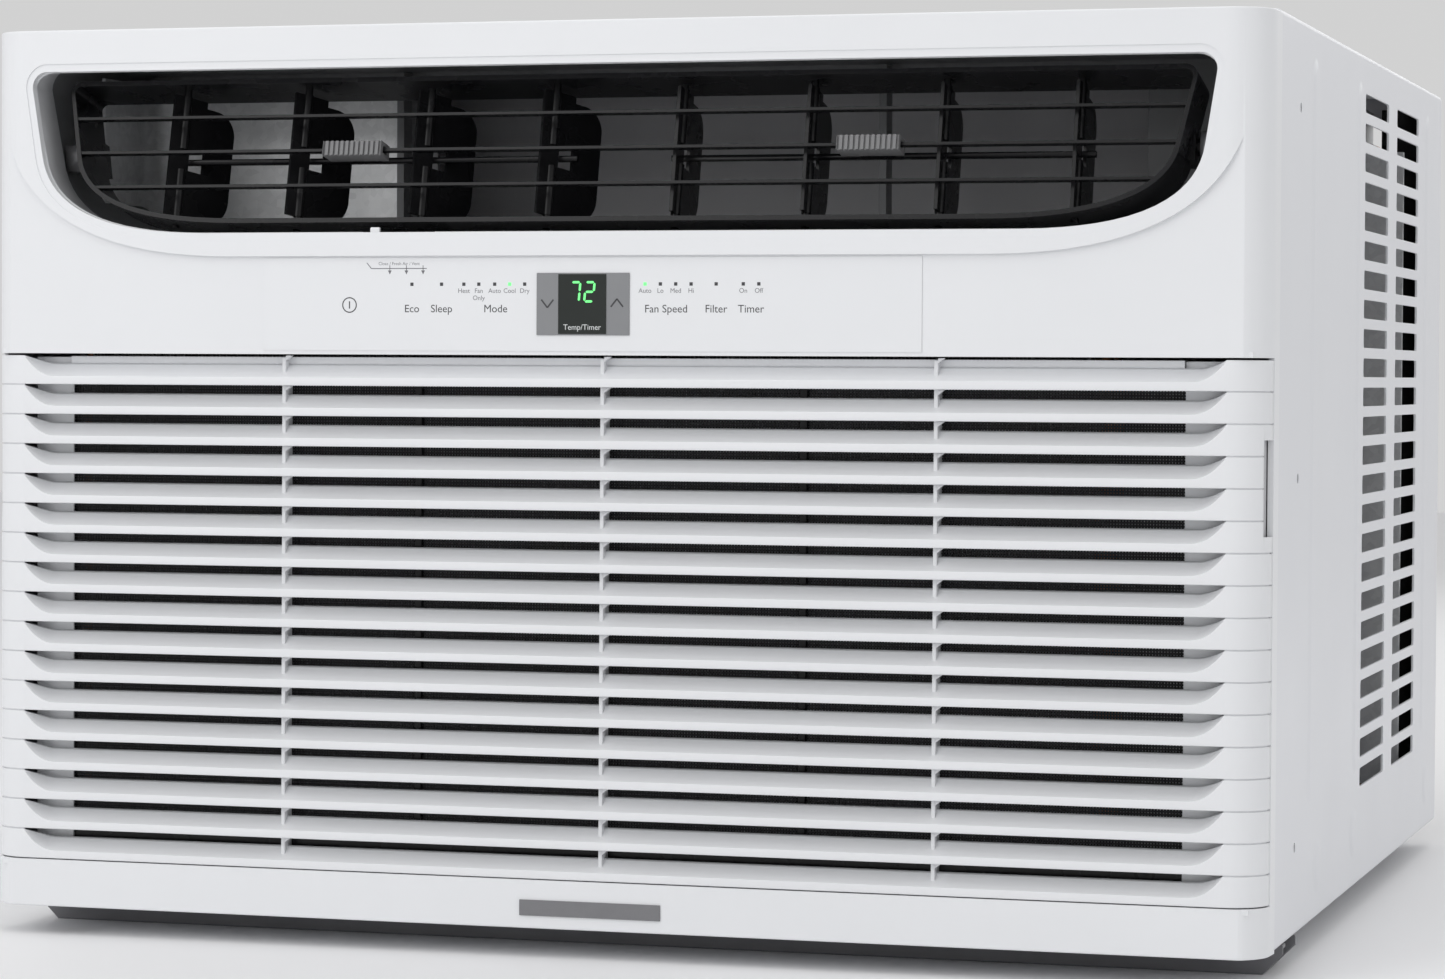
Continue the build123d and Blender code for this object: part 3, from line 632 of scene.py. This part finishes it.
def makeNotchPockets():
    # curved wall seen through each finger notch, just inside the grille's flank; its white plastic is painted
    # mid-grey as painted shade of the notch
    corners, faces = [], []
    face = grilleLow[1]
    radius, over = grille["faceRound"], grille["pocketOver"]
    outer = radius - grille["pocketSet"]
    for side in (-1, 1):
        start = len(corners)
        steps = 8
        for k in range(steps + 1):
            a = math.radians(grille["pocketStart"] + grille["pocketTurn"] * k / steps)
            for r in (outer, outer - grille["pocketWall"]):
                for z in (grille["notchLow"] - over, grille["notchHigh"] + over):
                    corners.append((side * (grille["flank"] - radius + r * math.cos(a)),
                                    face + radius - r * math.sin(a), z))
        for k in range(steps):
            a, b = start + 4 * k, start + 4 * (k + 1)
            for i, j in ((0, 1), (1, 3), (3, 2), (2, 0)):
                faces.append([a + i, a + j, b + j, b + i] if side > 0 else [b + i, b + j, a + j, a + i])
        last = start + 4 * steps
        faces += [[start, start + 2, start + 3, start + 1], [last, last + 1, last + 3, last + 2]]
    place(newPiece("notch_pockets", meshFrom("notch_pockets", corners, faces)), "unit", "notch_pocket_painted_shade")


makeNotchPockets()
print("grille made")


# filter net: woven strands between the bars of its frame
net = dict(pitch=1.5, strand=0.95, bars=(-300.0, -104.0, -100.0, 100.0, 104.0, 300.0))


def makeNet():
    low, high = boxMm("filter_mesh")
    middle = (low[1] + high[1]) / 2
    w = net["strand"] / 2
    corners, faces = [], []
    for pane in range(3):
        x0, x1 = net["bars"][2 * pane], net["bars"][2 * pane + 1]
        count = int((x1 - x0) / net["pitch"])
        for k in range(1, count):
            x = x0 + (x1 - x0) * k / count
            addBox(corners, faces, (x - w, middle - 0.3, low[2]), (x + w, middle, high[2]))
        rows = int((high[2] - low[2]) / net["pitch"])
        for k in range(1, rows):
            z = low[2] + (high[2] - low[2]) * k / rows
            addBox(corners, faces, (x0, middle - 0.05, z - w), (x1, middle + 0.3, z + w))
    place(newPiece("filter_net_weave", meshFrom("filter_net_weave", corners, faces)), "grille",
          "filter_net", "filter_mesh")


makeNet()


# finned coils: thin plates with rippled edges between two end plates
fins = dict(pitch=2.0, thick=0.35, ripple=0.9, endPlate=1.2)


def makeFins(node, name):
    low, high = boxMm(node)
    y0, y1 = low[1] + 1.5, high[1] - 1.5              # the end plates stand 1.5 mm proud of the fins
    corners, faces = [], []
    count = int((high[0] - low[0] - 2 * fins["endPlate"]) / fins["pitch"])
    for k in range(1, count):
        x = low[0] + (high[0] - low[0]) * k / count
        start = len(corners)
        waves = 6
        for j in range(waves + 1):
            y = y0 + (y1 - y0) * j / waves
            bend = fins["ripple"] * (0.5 if j % 2 else -0.5) * 0.6
            for side in (-0.5, 0.5):
                for z in (low[2] + 1.5, high[2] - 1.5):
                    corners.append((x + bend + side * fins["thick"], y, z))
        for j in range(waves):
            a = start + 4 * j
            b = a + 4
            faces += [[a, a + 1, b + 1, b], [a + 2, b + 2, b + 3, a + 3], [a, b, b + 2, a + 2],
                      [a + 1, a + 3,
                       b + 3,
                       b + 1]]
        faces += [[start, start + 2, start + 3, start + 1]]
        last = start + 4 * waves
        faces += [[last, last + 1, last + 3, last + 2]]
    for x0, x1 in ((low[0], low[0] + fins["endPlate"]), (high[0] - fins["endPlate"], high[0])):
        addBox(corners, faces, (x0, low[1], low[2]), (x1, high[1], high[2]))
    place(newPiece(name, meshFrom(name, corners, faces)), "unit", "fin_stock", node)


makeFins("evaporator_fins", "evaporator_fin_stack")
makeFins("condenser_fins", "condenser_fin_stack")
print("net and fins made")


# control face: legends, icons, indicator lights and the two-digit display
panel = dict(labelSize=5.5, smallSize=3.3, captionSize=3.9, inkDeep=0.05, lightSize=1.7,
             labels=[("Eco", -100), ("Sleep", -84), ("Mode", -55), ("Fan Speed", 35), ("Filter", 61),
                     ("Timer", 79)], labelZ=327.1,
             small=[("Heat", -72), ("Fan", -64), ("Auto", -55.5), ("Cool", -47.5), ("Dry", -39.5),
                    ("Auto", 24), ("Lo", 32),
                    ("Med", 40), ("Hi", 48), ("On", 75), ("Off", 83)], smallZ=336.2,
             lights=[-100, -84, -72, -64, -55.5, -39.5, 32, 40, 48, 61, 75, 83], lit=[-47.5, 24],
             lightZ=339.6)
faceY = boxMm("control_overlay")[0][1]
frameY = boxMm("display_frame")[0][1]
glassY = boxMm("display_window")[0][1]


def textMesh(words, size, x, y, z):
    letters = bpy.data.curves.new("legend", "FONT")
    letters.body = words
    letters.size = size * mm
    letters.align_x = "CENTER"
    letters.align_y = "CENTER"
    letters.extrude = panel["inkDeep"] / 2 * mm
    letters.resolution_u = 4
    holder = newPiece("legend", letters)
    mesh = bpy.data.meshes.new_from_object(holder.evaluated_get(bpy.context.evaluated_depsgraph_get()))
    mesh.transform(Matrix.Translation(Vector((x, y, z)) * mm) @ Matrix.Rotation(math.pi / 2, 4, "X"))
    bpy.data.objects.remove(holder)
    return mesh


def joinMeshes(name, parts):
    form = bmesh.new()
    for part in parts:
        form.from_mesh(part)
        bpy.data.meshes.remove(part)
    bmesh.ops.recalc_face_normals(form, faces=form.faces)
    mesh = bpy.data.meshes.new(name)
    form.to_mesh(mesh)
    form.free()
    return newPiece(name, mesh)


def flatShape(points, y, deep=None):
    # a thin closed shape with this outline in x and z, standing just proud of y
    deep = deep or panel["inkDeep"]
    n = len(points)
    corners = [(x, y - deep, z) for x, z in points] + [(x, y, z) for x, z in points]
    faces = [list(range(n)), list(range(2 * n - 1, n - 1, -1))]
    faces += [[i, i + n, (i + 1) % n + n, (i + 1) % n] for i in range(n)]
    return meshFrom("shape", corners, faces)


def arcBand(x, z, radius, width, start, end, y, steps=24):
    points = []
    for r, order in ((radius + width / 2, range(steps + 1)), (radius - width / 2, range(steps, -1, -1))):
        for k in order:
            a = math.radians(start + (end - start) * k / steps)
            points.append((x + r * math.sin(a), z + r * math.cos(a)))
    return flatShape(points, y)


def strip(x0, z0, x1, z1, width, y):
    run = Vector((x1 - x0, z1 - z0)).normalized() * width / 2
    side = Vector((-run.y, run.x))
    return flatShape([(x0 + side.x, z0 + side.y), (x1 + side.x, z1 + side.y), (x1 - side.x, z1 - side.y),
                      (x0 - side.x, z0 - side.y)], y)


def makeLegends():
    ink = [textMesh(words, panel["labelSize"], x, faceY, panel["labelZ"]) for words, x in panel["labels"]]
    ink += [arcBand(-133.9, 329.1, 3.7, 0.55, 0, 180, faceY),
            arcBand(-133.9, 329.1, 3.7, 0.55, 180, 360, faceY),
            strip(-133.9, 327.3, -133.9, 331.0, 0.6, faceY)]
    ink += [flatShape([(x + a * panel["lightSize"] / 2, panel["lightZ"] + b * panel["lightSize"] / 2)
                       for a, b in ((-1, -1), (1, -1), (1, 1), (-1, 1))], faceY) for x in panel["lights"]]
    place(joinMeshes("legend_print", ink), "unit", "legend_ink")
    small = [textMesh(words, panel["smallSize"], x, faceY, panel["smallZ"]) for words, x in panel["small"]]
    small += [textMesh("Only", panel["smallSize"], -64, faceY, panel["smallZ"] - 3.6)]
    small += [strip(-122, 347.6, -92, 347.6, 0.4, faceY), strip(-122, 347.6, -124.5, 350.5, 0.4, faceY)]
    for x in (-112, -103, -94):
        small += [strip(x, 349.2, x, 346.4, 0.35, faceY),
                  flatShape([(x - 1.0, 346.6), (x, 344.6), (x + 1.0, 346.6)], faceY)]
    small += [textMesh("Close / Fresh Air / Vent", 2.3, -107, faceY, 350.0)]
    place(joinMeshes("small_print", small), "unit", "small_ink")
    marks = [strip(-30.4, 331.8, -27.2, 327.8, 0.8, frameY), strip(-27.2, 327.8, -24.0, 331.8, 0.8, frameY),
             strip(6.3, 328.2, 9.5, 332.2, 0.8, frameY), strip(9.5, 332.2, 12.7, 328.2, 0.8, frameY)]
    place(joinMeshes("chevron_print", marks), "unit", "legend_ink")
    place(joinMeshes("display_caption",
                     [textMesh("Temp/Timer", panel["captionSize"], -8.7, glassY, 317.9)]), "unit",
          "caption_ink")


def segmentBar(x, z, length, thick, upright):
    h, t = length / 2, thick / 2
    outline = [(-h, 0), (-h + t, t), (h - t, t), (h, 0), (h - t, -t), (-h + t, -t)]
    if upright:
        outline = [(b, a) for a, b in outline][::-1]
    lean = 0.09                                       # digits lean to the right
    return flatShape([(x + a + (z + b - 335.6) * lean, z + b) for a, b in outline][::-1], glassY)


def makeDigits():
    shapes = []
    tall, wide, thick = 9.6, 4.6, 1.15
    half = tall / 2
    lines = {"a": (0, half, wide, False), "g": (0, 0, wide, False), "d": (0, -half, wide, False),
             "f": (-wide / 2, half / 2, half, True), "b": (wide / 2, half / 2, half, True),
             "e": (-wide / 2, -half / 2, half, True), "c": (wide / 2, -half / 2, half, True)}
    for x, lit in ((-12.4, "abc"), (-4.9, "abged")):
        for key in lit:
            dx, dz, length, upright = lines[key]
            shapes.append(segmentBar(x + dx, 335.7 + dz, length - 0.5, thick, upright))
    shapes += [flatShape([(x + a * panel["lightSize"] / 2, panel["lightZ"] + b * panel["lightSize"] / 2)
                          for a, b in ((-1, -1), (1, -1), (1, 1), (-1, 1))], faceY) for x in panel["lit"]]
    place(joinMeshes("lit_display", shapes), "unit", "green_light")


makeLegends()
makeDigits()
print("control face made")


# floor, lights and camera
studio = dict(floorHalf=7000, world=0.64,
              lights=[("key", (-1.7, -2.7, 1.9), 32, 2.4), ("fill", (2.8, -1.2, 1.5), 5, 2.2),
                      ("top", (0.0, -0.9, 2.7), 19, 2.0),
                      ("rear", (1.2, 2.6, 1.8), 16, 2.0)])
reach = studio["floorHalf"]
floorCorners = [(-reach, -reach, 0), (reach, -reach, 0), (reach, reach, 0), (-reach, reach, 0)]
floor = newPiece("floor", meshFrom("floor", floorCorners, [[0, 1, 2, 3]]))
floor.data.materials.append(makeFinish("studio_floor", (0.86, 0.86, 0.87), (0.84, 0.84, 0.85), 0.55, 2.0,
                                       0.02, 400))
room = bpy.context.scene.world or bpy.data.worlds.new("studio")
bpy.context.scene.world = room
room.use_nodes = True
room.node_tree.nodes["Background"].inputs["Color"].default_value = (1.0, 1.0, 1.0, 1)
room.node_tree.nodes["Background"].inputs["Strength"].default_value = studio["world"]
aim = Vector((0, 0, 0.24))
for name, spot, power, size in studio["lights"]:
    lamp = bpy.data.lights.new(name, "AREA")
    lamp.energy = power
    lamp.size = size
    holder = newPiece(name, lamp)
    holder.location = spot
    holder.rotation_euler = (aim - Vector(spot)).to_track_quat("-Z", "Y").to_euler()
bpy.context.scene.view_settings.view_transform = "Standard"

view = dict(place=(0.6510, -2.2935, 0.2933), yaw=16.66, pitch=-1.557, roll=0.316, lens=102.75, sensor=36.0)
yaw, pitch, roll = (math.radians(view[k]) for k in ("yaw", "pitch", "roll"))
forward = Vector((-math.sin(yaw) * math.cos(pitch), math.cos(yaw) * math.cos(pitch), math.sin(pitch)))
right = Vector((math.cos(yaw), math.sin(yaw), 0))
up = right.cross(forward)
turned = right * math.cos(roll) + up * math.sin(roll)
cameraUp = up * math.cos(roll) - right * math.sin(roll)
eye = bpy.data.cameras.new("camera")
eye.lens = view["lens"]
eye.sensor_width = view["sensor"]
eye.clip_end = 50
camera = newPiece("camera", eye)
camera.matrix_world = Matrix.Translation(view["place"]) @ Matrix((turned, cameraUp,
                                                                  -forward)).transposed().to_4x4()
bpy.context.scene.camera = camera
print("studio made")
